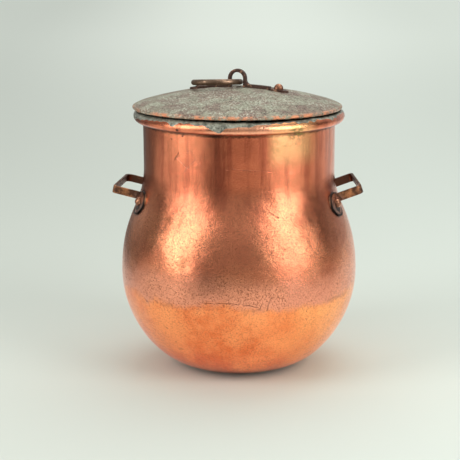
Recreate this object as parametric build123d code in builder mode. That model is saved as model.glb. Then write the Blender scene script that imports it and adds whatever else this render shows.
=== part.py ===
"""Pot-bellied copper cooking pot with a loose domed lid, two side handles and a lid ring.

Millimetres, +Z up. The origin is the middle of the base, on the floor. X runs along the two
side handles and -Y is the front.
"""
from build123d import *
from math import acos, asin, atan2, copysign, cos, degrees, hypot, radians, sin, sqrt
import os

# Vessel: one hammered sheet for the upper body, one raised bowl for the bottom
WALL = 1.6                  # thickness of both sheets
NECK_RADIUS = 105.5         # outside of the straight neck
THROAT_RADIUS = 95.0        # hollow arc that turns the neck into the shoulder
SHOULDER_RADIUS = 164.0     # full arc above the widest circle
BELLY_RADIUS = 131.0        # outside of the widest circle
BILGE_RADIUS = 122.5        # full arc below the widest circle
BILGE_ANGLE = 46.5          # how far the bilge arc turns, in degrees
HEEL_RADIUS = 74.5          # tighter arc that runs into the flat base
RIM_HEIGHT = 280.5          # middle of the rim wire above the floor

# Rolled rim
WIRE_RADIUS = 4.2           # iron wire inside the roll
WIRE_FIT = 0.05             # radial play of the wire in its roll
ROLL_TURN = 308.0           # how far the sheet wraps round the wire, in degrees

# Cramped seam between the two sheets: tabs of one brazed between tabs of the other
SEAM_HEIGHT = 93.5
SEAM_TABS = 26
TAB_HEIGHT = 11.0
TAB_SPREAD = 1.6            # how much wider a tab is at its end than at its root, each side

# Side handles: flat strip bent to a U, its ends forged into round feet
RIGHT_STRIP = 9.5            # height of the strip; the left handle's is slighter
LEFT_STRIP = 8.4
STRIP_THICKNESS = 2.8
STRIP_EDGE = 0.7            # rounding of the strip's long edges
HANDLE_WIDTH = 73.5         # over the outside of the two arms
HANDLE_HEIGHT = 194.7       # where the middle of the arms meets the wall
RIGHT_CORNERS = (6.0, 6.0)  # outside of the front and back grip corners
LEFT_CORNERS = (4.2, 9.0)
ROOT_RADIUS = 2.2           # bend between an arm and its foot
RIGHT_REACH = 25.0          # from the wall to the outside of the grip, along the arms
LEFT_REACH = 26.6
HANDLES = {                 # heading, rise, reach, strip height, corners
    "right": (3.4, 19.4, RIGHT_REACH, RIGHT_STRIP, RIGHT_CORNERS),
    "left": (171.8, 12.7, LEFT_REACH, LEFT_STRIP, LEFT_CORNERS),
}
FOOT_RADIUS = 12.2
FOOT_THICKNESS = 1.6        # the feet are forged thinner than the strip
FOOT_SIDE = 9.75            # middle of a foot beyond the outside of its arm
FOOT_DROP = 6.4             # middle of a foot, and its rivet, below the middle of the arms
FOOT_POINT = 1.2            # how far the foot's lower end runs to a point
RIVET_SIDE = 7.1            # a handle rivet beyond the outside of its arm

# Rivets: flat head inside, hammered dome outside
RIVET_RADIUS = 2.5
RIVET_FIT = 0.03            # radial play of a shank in its hole
RIVET_DOME_RADIUS = 4.9
RIVET_DOME_HEIGHT = 4.6
RIVET_HEAD_RADIUS = 6.0
RIVET_HEAD_THICKNESS = 1.2
RIVET_BED = 0.4             # depth to which a dome's underside is shaped to the face under it

# Lid: shallow dome whose edge is rolled under into a small bead
LID_SHEET = 1.2
LID_RADIUS = 115.0          # outside of the bead
LID_CROWN_RADIUS = 370.0
LID_KNUCKLE_RADIUS = 70.0   # steeper arc between crown and edge
LID_EDGE_SLOPE = 27.0       # fall of the sheet where it enters the bead, in degrees
BEAD_RADIUS = 1.9
BEAD_TURN = 215.0           # how far the sheet wraps to close the bead, in degrees
LID_TILT = 1.5              # the loose lid sits askew: its front edge is higher
LID_SHIFT_X = -1.9
LID_SHIFT_Y = 3.9
SEAT_GAP = 0.35             # least distance between bead and roll

# Lid strap: one bar raised into an arch, its ends forged into leaves
STRAP_WIDTH = 5.5
STRAP_THICKNESS = 3.6
STRAP_EDGE = 0.8            # rounding of the arch's edges
STRAP_TURN = -18.0          # turned about the lid's axis, in degrees
ARCH_RADIUS = 10.5          # outside of the arch
ARCH_HEIGHT = 20.0          # top of the arch above the crown
ARCH_FLARE = 5.5            # bend between an arch leg and its arm
LEAF_THICKNESS = 2.2
LEFT_LEAF_REACH = 43.5      # leaf's middle, and rivet, from the lid's axis
RIGHT_LEAF_REACH = 46.5
LEAF_HALF_LENGTH = 11.5
LEFT_DOME_HEIGHT = 1.2      # this rivet is hammered nearly flat
RIGHT_DOME_HEIGHT = 6.2
LEAF_HALF_WIDTH = 7.2

# Pull ring
RING_RADIUS = 25.5          # to the middle of the ring's wire
RING_WIRE_RADIUS = 3.1
RING_OFFSET = 2.0           # wire in the arch, off the arch's middle
RING_REST_GAP = 0.3         # between the lying ring and the left lid rivet
RING_SLOPE = 2.8            # the lying ring falls away from the arch, in degrees
RING_LEAN = 5.0             # and towards the back

# Vessel, worked out: centres and ends of the arcs, in the vertical section
ROLL_INSIDE = WIRE_RADIUS + WIRE_FIT
ROLL_OUTSIDE = ROLL_INSIDE + WALL
ROLL_CENTRE = NECK_RADIUS + ROLL_INSIDE
BELLY_HEIGHT = HEEL_RADIUS + (BILGE_RADIUS - HEEL_RADIUS) * sin(radians(BILGE_ANGLE))
BILGE_CENTRE = BELLY_RADIUS - BILGE_RADIUS
BASE_RADIUS = BILGE_CENTRE + (BILGE_RADIUS - HEEL_RADIUS) * cos(radians(BILGE_ANGLE))
SHOULDER_CENTRE = BELLY_RADIUS - SHOULDER_RADIUS
THROAT_CENTRE = NECK_RADIUS + THROAT_RADIUS
THROAT_RISE = sqrt((SHOULDER_RADIUS + THROAT_RADIUS) ** 2 - (THROAT_CENTRE - SHOULDER_CENTRE) ** 2)
NECK_FOOT = BELLY_HEIGHT + THROAT_RISE
SHOULDER_TURN = degrees(atan2(THROAT_RISE, THROAT_CENTRE - SHOULDER_CENTRE))
SHOULDER_TOP = NECK_FOOT - THROAT_RADIUS * sin(radians(SHOULDER_TURN))

# Lid, worked out: heights are over the middle of the bead
BEAD_CENTRE = LID_RADIUS - BEAD_RADIUS
KNUCKLE_REACH = (LID_KNUCKLE_RADIUS - BEAD_RADIUS) * sin(radians(LID_EDGE_SLOPE))
CROWN_LEVER = LID_CROWN_RADIUS - LID_KNUCKLE_RADIUS
CROWN_TURN = degrees(asin((BEAD_CENTRE - KNUCKLE_REACH) / CROWN_LEVER))
KNUCKLE_HEIGHT = -(LID_KNUCKLE_RADIUS - BEAD_RADIUS) * cos(radians(LID_EDGE_SLOPE))
CROWN_HEIGHT = KNUCKLE_HEIGHT - CROWN_LEVER * cos(radians(CROWN_TURN))
LID_RISE = CROWN_HEIGHT + LID_CROWN_RADIUS


def lid_seat_height():
    """Lowest height of the askew lid at which its bead clears the roll all the way round."""
    reach = ROLL_OUTSIDE + BEAD_RADIUS + SEAT_GAP
    height = RIM_HEIGHT
    for step in range(720):
        turn = radians(step / 2)
        x = LID_SHIFT_X + BEAD_CENTRE * cos(turn)
        y = LID_SHIFT_Y + BEAD_CENTRE * sin(turn) * cos(radians(LID_TILT))
        off = hypot(x, y) - ROLL_CENTRE
        if abs(off) < reach:
            fall = BEAD_CENTRE * sin(turn) * sin(radians(LID_TILT))
            height = max(height, RIM_HEIGHT + sqrt(reach ** 2 - off ** 2) + fall)
    return height


LID_UP = Vector(0, sin(radians(LID_TILT)), cos(radians(LID_TILT)))
LID_PLANE = Plane(origin=(LID_SHIFT_X, LID_SHIFT_Y, lid_seat_height()), x_dir=(1, 0, 0), z_dir=LID_UP)
STRAP_PLANE = LID_PLANE.rotated((0, 0, STRAP_TURN))


def crown_drop(reach):
    """Fall of the lid's outer face below the crown's top, at a distance from the axis."""
    return LID_CROWN_RADIUS - sqrt(LID_CROWN_RADIUS ** 2 - reach ** 2)


def standing(plane):
    """Plane through a plane's normal, drawn with x along its x and y along its normal."""
    return Plane(origin=plane.origin, x_dir=plane.x_dir, z_dir=-plane.y_dir)


def wall_radius(height):
    """Outside radius of the vessel from the widest circle up."""
    if height > NECK_FOOT:
        return NECK_RADIUS
    if height > SHOULDER_TOP:
        return THROAT_CENTRE - sqrt(THROAT_RADIUS ** 2 - (NECK_FOOT - height) ** 2)
    return SHOULDER_CENTRE + sqrt(SHOULDER_RADIUS ** 2 - (height - BELLY_HEIGHT) ** 2)


def wall_plane(angle, height):
    """Plane on the vessel's outer face above the widest circle, with its normal pointing out."""
    if height > NECK_FOOT:
        lean = 0
    elif height > SHOULDER_TOP:
        lean = asin((NECK_FOOT - height) / THROAT_RADIUS)
    else:
        lean = asin((height - BELLY_HEIGHT) / SHOULDER_RADIUS)
    out = Vector(cos(radians(angle)), sin(radians(angle)), 0)
    across = Vector(-sin(radians(angle)), cos(radians(angle)), 0)
    place = out * wall_radius(height) + Vector(0, 0, height)
    return Plane(origin=place, x_dir=across, z_dir=out * cos(lean) + Vector(0, 0, sin(lean)))


def draw_wall(inset):
    """Vessel's outline from the axis to the foot of the neck, inset from its outer face."""
    Line((0, inset), (BASE_RADIUS, inset))
    CenterArc((BASE_RADIUS, HEEL_RADIUS), HEEL_RADIUS - inset, -90, 90 - BILGE_ANGLE)
    CenterArc((BILGE_CENTRE, BELLY_HEIGHT), BILGE_RADIUS - inset, -BILGE_ANGLE, BILGE_ANGLE)
    CenterArc((SHOULDER_CENTRE, BELLY_HEIGHT), SHOULDER_RADIUS - inset, 0, SHOULDER_TURN)
    CenterArc((THROAT_CENTRE, NECK_FOOT), THROAT_RADIUS + inset, 180 + SHOULDER_TURN, -SHOULDER_TURN)


def make_blank(grow):
    """Solid of the vessel's outer shape up to the rim, grown outwards."""
    with BuildPart() as blank:
        with BuildSketch(Plane.XZ):
            with BuildLine():
                draw_wall(-grow)
                Line((NECK_RADIUS + grow, NECK_FOOT), (NECK_RADIUS + grow, RIM_HEIGHT))
                Line((NECK_RADIUS + grow, RIM_HEIGHT), (0, RIM_HEIGHT))
                Line((0, RIM_HEIGHT), (0, -grow))
            make_face()
        revolve(axis=Axis.Z)
    return blank.part


def make_shell():
    """Both sheets as one shell, with the top of the neck rolled outwards."""
    roll_end = 180 - ROLL_TURN
    roll_at = Vector(ROLL_CENTRE, RIM_HEIGHT)
    end_way = Vector(cos(radians(roll_end)), sin(radians(roll_end)))
    with BuildPart() as shell:
        with BuildSketch(Plane.XZ):
            with BuildLine():
                draw_wall(0)
                Line((NECK_RADIUS, NECK_FOOT), (NECK_RADIUS, RIM_HEIGHT))
                CenterArc(roll_at, ROLL_INSIDE, 180, -ROLL_TURN)
                Line(roll_at + end_way * ROLL_INSIDE, roll_at + end_way * ROLL_OUTSIDE)
                CenterArc(roll_at, ROLL_OUTSIDE, roll_end, ROLL_TURN)
                Line((NECK_RADIUS - WALL, RIM_HEIGHT), (NECK_RADIUS - WALL, NECK_FOOT))
                draw_wall(WALL)
                Line((0, WALL), (0, 0))
            make_face()
        revolve(axis=Axis.Z)
    return shell.part


def make_bowl_space():
    """Space of the bottom bowl: all that is below the seam, with its ring of tabs."""
    low = SEAM_HEIGHT - TAB_HEIGHT / 2
    high = SEAM_HEIGHT + TAB_HEIGHT / 2
    quarter_pitch = BELLY_RADIUS * sin(radians(90 / SEAM_TABS))
    root = quarter_pitch - TAB_SPREAD / 2
    end = quarter_pitch + TAB_SPREAD / 2
    with BuildPart() as tab:
        with BuildSketch(Plane.YZ):
            with BuildLine():
                Polyline((-root, low), (root, low), (end, high), (-end, high), close=True)
            make_face()
        extrude(amount=2 * BELLY_RADIUS)
    with BuildPart() as space:
        with BuildSketch():
            Circle(2 * BELLY_RADIUS)
        extrude(amount=low)
        with PolarLocations(0, SEAM_TABS):
            add(tab.part)
    return space.part


def rivet_places(heading):
    """Angle about Z and height of a handle's front and back rivet."""
    height = HANDLE_HEIGHT - FOOT_DROP
    swing = degrees(asin((HANDLE_WIDTH / 2 + RIVET_SIDE) / wall_radius(height)))
    front = -swing if abs(heading) < 90 else swing
    return {"front": (heading + front, height), "back": (heading - front, height)}


def make_feet(heading, strip, skin, blank):
    """The two round feet of a handle, curved to the wall."""
    out = Vector(cos(radians(heading)), sin(radians(heading)), 0)
    across = Vector(-sin(radians(heading)), cos(radians(heading)), 0)
    side = HANDLE_WIDTH / 2 + FOOT_SIDE
    arm_side = HANDLE_WIDTH / 2 - STRIP_THICKNESS
    with BuildPart() as feet:
        with BuildSketch(Plane(origin=(0, 0, HANDLE_HEIGHT), x_dir=across, z_dir=out)):
            with Locations((side, -FOOT_DROP)):
                Circle(FOOT_RADIUS)
                with Locations((0, -FOOT_POINT)):
                    Circle(FOOT_RADIUS - FOOT_POINT / 2)
            with Locations(((arm_side + side) / 2, 0)):
                Rectangle(side - arm_side, strip)
            mirror(about=Plane.YZ)
        extrude(amount=2 * BELLY_RADIUS)
        add(skin, mode=Mode.INTERSECT)
        add(blank, mode=Mode.SUBTRACT)
    return feet.part


def draw_root_bend():
    """Plan of the bend from one arm into the middle of its foot's thickness, in the arms' plane."""
    half = HANDLE_WIDTH / 2
    wall = wall_radius(HANDLE_HEIGHT)
    lever = wall + FOOT_THICKNESS / 2 + ROOT_RADIUS
    centre = Vector(sqrt(lever ** 2 - (half + ROOT_RADIUS) ** 2) - wall, half + ROOT_RADIUS)
    to_axis = (Vector(-wall, 0) - centre).normalized()
    touch = centre + to_axis * ROOT_RADIUS
    turn = degrees(acos(to_axis.dot(Vector(0, -1))))
    in_arm = half - STRIP_THICKNESS / 2
    CenterArc(centre, ROOT_RADIUS, -90, -turn)
    Polyline((centre.X, half), (centre.X, in_arm), (-wall / 2, in_arm), (-wall / 2, touch.Y), touch)


def make_handle(heading, rise, reach, strip, corners, skin, blank):
    """One handle: the bent strip joined to its feet, with holes for its two rivets."""
    out = Vector(cos(radians(heading)), sin(radians(heading)), 0)
    arm_way = out * cos(radians(rise)) + Vector(0, 0, sin(radians(rise)))
    edge_way = Vector(0, 0, cos(radians(rise))) - out * sin(radians(rise))
    wall = wall_radius(HANDLE_HEIGHT)
    root = out * wall + Vector(0, 0, HANDLE_HEIGHT)
    arms = Plane(origin=root, x_dir=arm_way, z_dir=edge_way)
    feet = make_feet(heading, strip, skin, blank)
    ends = corners if abs(heading) < 90 else corners[::-1]
    with BuildPart() as handle:
        with BuildSketch(arms):
            with Locations((reach - wall / 2, 0)):
                Rectangle(wall, HANDLE_WIDTH)
            fillet(vertices().group_by(Axis.X)[-1].sort_by(Axis.Y)[0], ends[0])
            fillet(vertices().group_by(Axis.X)[-1].sort_by(Axis.Y)[-1], ends[1])
            offset(amount=-STRIP_THICKNESS, mode=Mode.SUBTRACT)
        extrude(amount=strip / 2, both=True)
        sides = faces().sort_by(Axis(root, edge_way))
        fillet(sides[0].edges() + sides[-1].edges(), STRIP_EDGE)
        with BuildSketch(arms):
            with BuildLine():
                draw_root_bend()
            make_face()
            mirror(about=Plane.XZ)
        extrude(amount=strip / 2 - STRIP_EDGE, both=True)
        add(blank, mode=Mode.SUBTRACT)
        add(feet)
        for angle, height in rivet_places(heading).values():
            with BuildSketch(wall_plane(angle, height)):
                Circle(RIVET_RADIUS + RIVET_FIT)
            extrude(amount=2 * STRIP_THICKNESS, both=True, mode=Mode.SUBTRACT)
    return handle.part


def rivet_ball(dome_height):
    """Radius of the ball that a rivet's dome is part of."""
    return (RIVET_DOME_RADIUS ** 2 + dome_height ** 2) / (2 * dome_height)


def make_rivet_dome(seat, dome_height, base):
    """Dome of a rivet on a plane, its underside shaped to the face of the base it sits on."""
    ball = rivet_ball(dome_height)
    dome_start = degrees(asin((ball - dome_height) / ball))
    with BuildPart() as dome:
        with BuildSketch(standing(seat)):
            with BuildLine():
                CenterArc((0, dome_height - ball), ball, dome_start, 90 - dome_start)
                Polyline(
                    (RIVET_DOME_RADIUS, 0),
                    (RIVET_DOME_RADIUS, -RIVET_BED),
                    (0, -RIVET_BED),
                    (0, dome_height),
                )
            make_face()
        revolve(axis=Axis(seat.origin, seat.z_dir))
        add(base, mode=Mode.SUBTRACT)
    return dome.part


def make_rivet_head(seat, through, sheet, hollow):
    """Flat head of a rivet under a sheet: begun in the middle of the sheet, cut to its hollow."""
    top = sheet / 2 - through
    low = -through - RIVET_HEAD_THICKNESS
    low_radius = RIVET_HEAD_RADIUS - RIVET_HEAD_THICKNESS / 3
    with BuildPart() as head:
        with BuildSketch(standing(seat)):
            with BuildLine():
                Polyline((0, top), (RIVET_HEAD_RADIUS, top), (low_radius, low), (0, low), close=True)
            make_face()
        revolve(axis=Axis(seat.origin, seat.z_dir))
        add(hollow, mode=Mode.INTERSECT)
    return head.part


def make_rivet(seat, dome_height, thickness, sheet, base, hollow):
    """Rivet through a base of some thickness and the sheet under it, with its head in the hollow."""
    through = thickness + sheet
    shank_low = -through - RIVET_HEAD_THICKNESS / 2
    with BuildPart() as rivet:
        add(make_rivet_dome(seat, dome_height, base))
        add(make_rivet_head(seat, through, sheet, hollow))
        with BuildSketch(seat.offset(shank_low)):
            Circle(RIVET_RADIUS)
        extrude(amount=dome_height / 2 - shank_low)
    return rivet.part


def draw_dome(inset):
    """Lid's outline from the crown to the start of the bead, inset from its outer face."""
    crown = Vector(0, CROWN_HEIGHT)
    knuckle = Vector(CROWN_LEVER * sin(radians(CROWN_TURN)), KNUCKLE_HEIGHT)
    CenterArc(crown, LID_CROWN_RADIUS - inset, 90, -CROWN_TURN)
    CenterArc(knuckle, LID_KNUCKLE_RADIUS - inset, 90 - CROWN_TURN, CROWN_TURN - LID_EDGE_SLOPE)


def make_lid_plate(rivet_seats):
    """Domed sheet with its edge rolled under, and two rivet holes."""
    bead = Vector(BEAD_CENTRE, 0)
    bead_start = 90 - LID_EDGE_SLOPE
    bead_end = radians(bead_start - BEAD_TURN)
    end_way = Vector(cos(bead_end), sin(bead_end))
    with BuildPart() as plate:
        with BuildSketch(standing(LID_PLANE)):
            with BuildLine():
                draw_dome(0)
                CenterArc(bead, BEAD_RADIUS, bead_start, -BEAD_TURN)
                Line(bead + end_way * BEAD_RADIUS, bead + end_way * (BEAD_RADIUS - LID_SHEET))
                CenterArc(bead, BEAD_RADIUS - LID_SHEET, bead_start, -BEAD_TURN)
                draw_dome(LID_SHEET)
                Line((0, LID_RISE), (0, LID_RISE - LID_SHEET))
            make_face()
        revolve(axis=Axis(LID_PLANE.origin, LID_PLANE.z_dir))
        for seat in rivet_seats:
            with BuildSketch(seat):
                Circle(RIVET_RADIUS + RIVET_FIT)
            extrude(amount=3 * LEAF_THICKNESS, both=True, mode=Mode.SUBTRACT)
    return plate.part


def make_lid_blank(grow):
    """Solid under the lid's outer face, grown upwards."""
    with BuildPart() as blank:
        with BuildSketch(standing(LID_PLANE)):
            with BuildLine():
                draw_dome(-grow)
                edge = Vector(CROWN_LEVER * sin(radians(CROWN_TURN)), KNUCKLE_HEIGHT)
                slope = radians(LID_EDGE_SLOPE)
                edge += Vector(sin(slope), cos(slope)) * (LID_KNUCKLE_RADIUS + grow)
                Polyline(edge, (edge.X, -LID_RISE), (0, -LID_RISE), (0, LID_RISE + grow))
            make_face()
        revolve(axis=Axis(LID_PLANE.origin, LID_PLANE.z_dir))
    return blank.part


def leaf_seat(reach):
    """Plane on the lid's outer face in the middle of the leaf at a place along the strap."""
    lean = asin(reach / LID_CROWN_RADIUS)
    place = STRAP_PLANE.from_local_coords(Vector(reach, 0, LID_RISE - crown_drop(reach)))
    normal = STRAP_PLANE.x_dir * sin(lean) + STRAP_PLANE.z_dir * cos(lean)
    return Plane(origin=place, x_dir=STRAP_PLANE.y_dir, z_dir=normal)


def leaf_reaches():
    """Places of the two leaves along the strap."""
    return (-LEFT_LEAF_REACH, RIGHT_LEAF_REACH)


def make_arch():
    """Arch of the strap with the bends into its arms, running down into the lid."""
    middle = LID_RISE + ARCH_HEIGHT - ARCH_RADIUS
    inner = ARCH_RADIUS - STRAP_THICKNESS
    arm_top = LID_RISE - crown_drop(ARCH_RADIUS + ARCH_FLARE) + STRAP_THICKNESS
    with BuildPart() as arch:
        with BuildSketch(standing(STRAP_PLANE)):
            with BuildLine():
                CenterArc((0, middle), ARCH_RADIUS, 0, 180)
                for hand in (-1, 1):
                    foot = Vector(hand * ARCH_RADIUS, arm_top + ARCH_FLARE)
                    far = foot + Vector(hand * ARCH_FLARE, -ARCH_FLARE)
                    Line((hand * ARCH_RADIUS, middle), foot)
                    RadiusArc(foot, far, -hand * ARCH_FLARE)
                    Line(far, (far.X, 0))
                Line((-ARCH_RADIUS - ARCH_FLARE, 0), (ARCH_RADIUS + ARCH_FLARE, 0))
            make_face()
            with Locations((0, middle)):
                Circle(inner, mode=Mode.SUBTRACT)
            with Locations((0, middle / 2)):
                Rectangle(2 * inner, middle, mode=Mode.SUBTRACT)
        extrude(amount=STRAP_WIDTH / 2, both=True)
        bends = edges().filter_by(GeomType.CIRCLE)
        fillet(bends, STRAP_EDGE)
    return arch.part


def make_arms(skin):
    """The two bars from the arch to the leaves, following the lid."""
    arm_start = ARCH_RADIUS - STRAP_THICKNESS
    with BuildPart() as arms:
        with BuildSketch(STRAP_PLANE):
            for reach in leaf_reaches():
                start = copysign(arm_start, reach)
                end = reach - copysign(LEAF_HALF_LENGTH - STRAP_WIDTH / 2, reach)
                with Locations(((start + end) / 2, 0)):
                    Rectangle(abs(end - start), STRAP_WIDTH)
        extrude(amount=2 * LID_RISE)
        add(skin, mode=Mode.INTERSECT)
    return arms.part


def make_lid_strap(blank, leaf_skin, arm_skin):
    """Arch, two arms and two riveted leaves, in one piece."""
    with BuildPart() as strap:
        with BuildSketch(STRAP_PLANE):
            for reach in leaf_reaches():
                with Locations((reach, 0)):
                    Ellipse(LEAF_HALF_LENGTH, LEAF_HALF_WIDTH)
        extrude(amount=2 * LID_RISE)
        add(leaf_skin, mode=Mode.INTERSECT)
        add(make_arms(arm_skin))
        add(make_arch())
        add(blank, mode=Mode.SUBTRACT)
        for reach in leaf_reaches():
            with BuildSketch(leaf_seat(reach)):
                Circle(RIVET_RADIUS + RIVET_FIT)
            extrude(amount=3 * LEAF_THICKNESS, both=True, mode=Mode.SUBTRACT)
    return strap.part


def ring_plane():
    """Plane of the lying ring, whose far side leans on the left lid rivet."""
    reach = LEFT_LEAF_REACH
    ball = rivet_ball(LEFT_DOME_HEIGHT)
    ball_height = LID_RISE - crown_drop(reach) + LEAF_THICKNESS + LEFT_DOME_HEIGHT - ball
    far = 2 * RING_RADIUS - RING_OFFSET
    rise = sqrt((ball + RING_WIRE_RADIUS + RING_REST_GAP) ** 2 - (far - reach) ** 2)
    slope = radians(RING_SLOPE)
    lean = radians(RING_LEAN)
    along = STRAP_PLANE.x_dir * cos(slope) + STRAP_PLANE.z_dir * sin(slope)
    back = STRAP_PLANE.y_dir * cos(lean) - STRAP_PLANE.z_dir * sin(lean)
    far_side = STRAP_PLANE.from_local_coords(Vector(-far, 0, ball_height + rise))
    return Plane(origin=far_side + along * RING_RADIUS, x_dir=along, z_dir=along.cross(back))


def make_pull_ring():
    """Closed ring of round wire."""
    plane = ring_plane()
    with BuildPart() as ring:
        with BuildSketch(standing(plane)):
            with Locations((RING_RADIUS, 0)):
                Circle(RING_WIRE_RADIUS)
        revolve(axis=Axis(plane.origin, plane.z_dir))
    return ring.part


def make_rim_wire():
    """Iron wire inside the rolled rim."""
    with BuildPart() as wire:
        with BuildSketch(Plane.XZ):
            with Locations((ROLL_CENTRE, RIM_HEIGHT)):
                Circle(WIRE_RADIUS)
        revolve(axis=Axis.Z)
    return wire.part


def save(name, part):
    part.label = name
    export_step(part, f"parts/{name}.step")


def make_vessel():
    """Upper body, bottom bowl, rim wire, handles and the handles' rivets."""
    shell = make_shell()
    bowl_space = make_bowl_space()
    blank = make_blank(0)
    skin = make_blank(FOOT_THICKNESS)
    inside = make_blank(-WALL)
    with BuildPart() as bottom_bowl:
        add(shell)
        add(bowl_space, mode=Mode.INTERSECT)
    with BuildPart() as upper_body:
        add(shell)
        add(bowl_space, mode=Mode.SUBTRACT)
        for heading, *_ in HANDLES.values():
            for angle, height in rivet_places(heading).values():
                with BuildSketch(wall_plane(angle, height)):
                    Circle(RIVET_RADIUS + RIVET_FIT)
                extrude(amount=3 * STRIP_THICKNESS, both=True, mode=Mode.SUBTRACT)
    save("bottom_bowl", bottom_bowl.part)
    save("upper_body", upper_body.part)
    save("rim_wire", make_rim_wire())
    for hand, (heading, *bend) in HANDLES.items():
        save(f"{hand}_handle", make_handle(heading, *bend, skin, blank))
        for end, (angle, height) in rivet_places(heading).items():
            seat = wall_plane(angle, height).offset(FOOT_THICKNESS)
            rivet = make_rivet(seat, RIVET_DOME_HEIGHT, FOOT_THICKNESS, WALL, skin, inside)
            save(f"{hand}_{end}_rivet", rivet)


def make_lid():
    """Lid plate, strap, the strap's rivets and the pull ring."""
    left_seat = leaf_seat(-LEFT_LEAF_REACH)
    right_seat = leaf_seat(RIGHT_LEAF_REACH)
    leaf_skin = make_lid_blank(LEAF_THICKNESS)
    inside = make_lid_blank(-LID_SHEET)
    strap = make_lid_strap(make_lid_blank(0), leaf_skin, make_lid_blank(STRAP_THICKNESS))
    save("lid_plate", make_lid_plate((left_seat, right_seat)))
    save("lid_strap", strap)
    rivets = {"left": (left_seat, LEFT_DOME_HEIGHT), "right": (right_seat, RIGHT_DOME_HEIGHT)}
    for hand, (seat, dome_height) in rivets.items():
        top = seat.offset(LEAF_THICKNESS)
        rivet = make_rivet(top, dome_height, LEAF_THICKNESS, LID_SHEET, leaf_skin, inside)
        save(f"lid_{hand}_rivet", rivet)
    save("pull_ring", make_pull_ring())


os.makedirs("parts", exist_ok=True)
make_vessel()
make_lid()
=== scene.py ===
"""Looks of the lidded copper pot: hand-worked sheet, worn metal and a plain pale studio."""

from math import asin, atan2, cos, degrees, exp, hypot, pi, radians, sin, sqrt

import bpy
from mathutils import Matrix, Vector, noise


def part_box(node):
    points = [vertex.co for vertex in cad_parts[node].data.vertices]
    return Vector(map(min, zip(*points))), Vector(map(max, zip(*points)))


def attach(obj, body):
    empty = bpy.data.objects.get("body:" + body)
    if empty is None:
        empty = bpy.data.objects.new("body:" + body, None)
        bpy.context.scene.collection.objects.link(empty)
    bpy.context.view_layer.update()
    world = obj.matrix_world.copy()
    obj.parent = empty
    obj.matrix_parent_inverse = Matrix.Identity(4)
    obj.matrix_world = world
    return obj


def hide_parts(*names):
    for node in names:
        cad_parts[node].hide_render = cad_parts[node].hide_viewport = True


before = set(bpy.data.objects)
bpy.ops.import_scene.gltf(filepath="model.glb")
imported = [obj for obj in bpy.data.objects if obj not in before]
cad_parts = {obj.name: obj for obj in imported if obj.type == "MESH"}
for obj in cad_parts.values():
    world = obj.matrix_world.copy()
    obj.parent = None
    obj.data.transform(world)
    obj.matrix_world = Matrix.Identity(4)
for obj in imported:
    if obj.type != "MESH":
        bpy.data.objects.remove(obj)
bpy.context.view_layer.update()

MM = 0.001
TAU = 2 * pi

# Vessel, in millimetres: the same arcs as the solids
WALL = 1.6
NECK_RADIUS = 105.5
THROAT_RADIUS = 95.0
SHOULDER_RADIUS = 164.0
BELLY_RADIUS = 131.0
BILGE_RADIUS = 122.5
BILGE_ANGLE = radians(46.5)
HEEL_RADIUS = 74.5
RIM_HEIGHT = 280.5
ROLL_INSIDE = 4.25
ROLL_TURN = 308.0
SEAM_HEIGHT = 93.5
SEAM_TABS = 26
SEAM_WAVE = 1.5             # how far the worked seam swings up and down
SEAM_REACH = 14.0           # rows of the mesh this near the seam bend along it
SEAM_CRACK = 1.7            # how far from the seam its dark line fades out
HANDLE_HEIGHT = 194.7
FEET_BELOW = 6.0            # the sheet is smooth where the feet lie, a little below the handles,
FEET_ASIDE = 104.0          # this far to either side
FEET_CALM = 20.0            # and about this far round them

# Tin on the roll: its thickest in front, in millimetres, and the places where it has run down,
# as (place round the rim, half width, run round the roll's section) in degrees
TIN_BUILD_UP = 1.7
TIN_RUNS = [
    (-165.0, 24.0, 58.0), (-127.0, 3.5, 56.0), (-101.5, 4.0, 62.0), (-91.0, 6.0, 30.0),
    (-30.0, 5.0, 22.0),
]

ROLL_OUTSIDE = ROLL_INSIDE + WALL
ROLL_CENTRE = NECK_RADIUS + ROLL_INSIDE
BELLY_HEIGHT = HEEL_RADIUS + (BILGE_RADIUS - HEEL_RADIUS) * sin(BILGE_ANGLE)
BILGE_CENTRE = BELLY_RADIUS - BILGE_RADIUS
BASE_RADIUS = BILGE_CENTRE + (BILGE_RADIUS - HEEL_RADIUS) * cos(BILGE_ANGLE)
HEEL_TOP = HEEL_RADIUS - HEEL_RADIUS * sin(BILGE_ANGLE)
SHOULDER_CENTRE = BELLY_RADIUS - SHOULDER_RADIUS
THROAT_CENTRE = NECK_RADIUS + THROAT_RADIUS
THROAT_RISE = sqrt((SHOULDER_RADIUS + THROAT_RADIUS) ** 2 - (THROAT_CENTRE - SHOULDER_CENTRE) ** 2)
NECK_FOOT = BELLY_HEIGHT + THROAT_RISE
SHOULDER_TOP = NECK_FOOT - THROAT_RADIUS * THROAT_RISE / (SHOULDER_RADIUS + THROAT_RADIUS)

# Lid
LID_SHEET = 1.2
LID_RADIUS = 115.0
LID_CROWN_RADIUS = 370.0
LID_KNUCKLE_RADIUS = 70.0
LID_EDGE_SLOPE = radians(27.0)
BEAD_RADIUS = 1.9
BEAD_TURN = 215.0
LID_TILT = radians(1.5)
LID_SHIFT = (-1.9, 3.9)

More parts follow.
